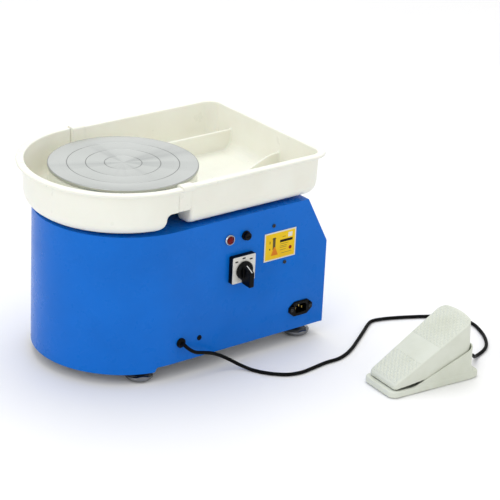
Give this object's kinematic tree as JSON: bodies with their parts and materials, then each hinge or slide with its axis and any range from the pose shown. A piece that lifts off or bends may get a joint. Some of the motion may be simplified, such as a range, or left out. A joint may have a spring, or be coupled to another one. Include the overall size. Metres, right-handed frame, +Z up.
{
  "type": "pottery wheel",
  "caption": "Tabletop electric pottery wheel: blue D-shaped steel housing, aluminium wheel head, two-piece white splash basin, rotary switch and foot pedal on a cord.",
  "frame": {"origin": "middle of the footprint that the machine and its foot pedal cover, on the surface that they stand on", "axes": "+X along the housing towards its square end, -Y towards the control wall and the foot pedal, +Z up"},
  "size_m": [0.756, 0.5956, 0.3465],
  "materials": {
    "blue_paint": "glossy powder coat over 1.6 mm sheet steel",
    "cream_abs": "smooth moulded ABS, slightly glossy",
    "pedal_plastic": "satin moulded ABS with ribbed treads",
    "wheel_aluminium": "turned aluminium with fine concentric marks",
    "aluminium": "plain aluminium",
    "steel": "zinc plated or bright steel",
    "chrome": "chromium plate",
    "cast_iron": "dark painted casting",
    "black_plastic": "black moulded plastic",
    "rubber": "black rubber or soft PVC",
    "red_lens": "clear red lens",
    "label_film": "printed polyester film with plain panels and no wording",
    "silver_plate": "silver dial plate",
    "brass": "bright brass",
    "circuit_board": "green circuit board with components"
  },
  "bodies": {
    "machine": {"housing_shell": "blue_paint", "base_plate": "steel", "levelling_foot_1": "chrome", "levelling_foot_2": "chrome", "levelling_foot_3": "chrome", "levelling_foot_4": "chrome", "upper_bearing": "steel", "lower_bearing": "steel", "bearing_housing": "cast_iron", "bearing_bolt_1": "steel", "bearing_bolt_2": "steel", "bearing_bolt_3": "steel", "bearing_bolt_4": "steel", "drive_belt": "rubber", "motor": "cast_iron", "motor_stand": "steel", "board_tray": "steel", "control_board": "circuit_board", "heat_sink": "aluminium", "switch_block": "black_plastic", "switch_base": "black_plastic", "switch_plate": "silver_plate", "lamp_bezel": "chrome", "lamp_lens": "red_lens", "fuse_holder": "black_plastic", "label_plate": "label_film", "panel_screw_1": "steel", "panel_screw_2": "steel", "power_inlet": "black_plastic", "inlet_contacts": "brass", "inlet_screw_1": "steel", "inlet_screw_2": "steel", "cord_grommet": "rubber", "hole_plug": "rubber", "pedal_base": "pedal_plastic", "pedal_pad_1": "rubber", "pedal_pad_2": "rubber", "pedal_pad_3": "rubber", "pedal_pad_4": "rubber", "treadle_pin": "steel", "friction_washer_1": "brass", "friction_washer_2": "brass", "speed_pot": "black_plastic", "pedal_gland": "rubber", "pedal_cord": "rubber"},
    "wheel": {"wheel_head": "wheel_aluminium", "head_flange": "steel", "spindle": "steel", "driven_pulley": "cast_iron"},
    "rotor": {"motor_shaft": "steel", "motor_pulley": "aluminium"},
    "selector": {"selector_knob": "black_plastic"},
    "fuse_cap": {"fuse_cap": "black_plastic"},
    "front_basin": {"basin_front": "cream_abs"},
    "rear_basin": {"basin_rear": "cream_abs"},
    "treadle": {"pedal_treadle": "pedal_plastic"},
    "pot_shaft": {"pot_pinion": "brass"}
  },
  "joints": [
    {"name": "wheel_spin", "type": "hinge", "parent": "machine", "child": "wheel", "pos_m": [-0.13922, 0.12576, 0.3], "axis": [0, 0, 1], "continuous": true},
    {"name": "motor_spin", "type": "hinge", "parent": "machine", "child": "rotor", "pos_m": [0.06578, 0.12576, 0.13], "axis": [0, 0, 1], "continuous": true},
    {"name": "selector_turn", "type": "hinge", "parent": "machine", "child": "selector", "pos_m": [-0.00272, -0.02424, 0.169], "axis": [0, -1, 0], "range_deg": [-45, 45]},
    {"name": "fuse_cap_turn", "type": "hinge", "parent": "machine", "child": "fuse_cap", "pos_m": [0.00578, -0.02424, 0.226], "axis": [0, -1, 0], "range_deg": [0, 90]},
    {"name": "front_basin_slide", "type": "slide", "parent": "machine", "child": "front_basin", "axis": [-1, 0, 0], "range_m": [0, 0.15]},
    {"name": "rear_basin_slide", "type": "slide", "parent": "machine", "child": "rear_basin", "axis": [1, 0, 0], "range_m": [0, 0.15]},
    {"name": "treadle_tilt", "type": "hinge", "parent": "machine", "child": "treadle", "pos_m": [0.21419, -0.24999, 0.05], "axis": [0.0769, 0.997, 0], "range_deg": [0, 8]},
    {"name": "pot_turn", "type": "hinge", "parent": "machine", "child": "pot_shaft", "pos_m": [0.23256, -0.25141, 0.03709], "axis": [0.0769, 0.997, 0], "range_deg": [-37, 1]}
  ],
  "couplings": [
    {"joint": "motor_spin", "follows": "wheel_spin", "ratio": 6},
    {"joint": "pot_turn", "follows": "treadle_tilt", "ratio": -4.5}
  ]
}
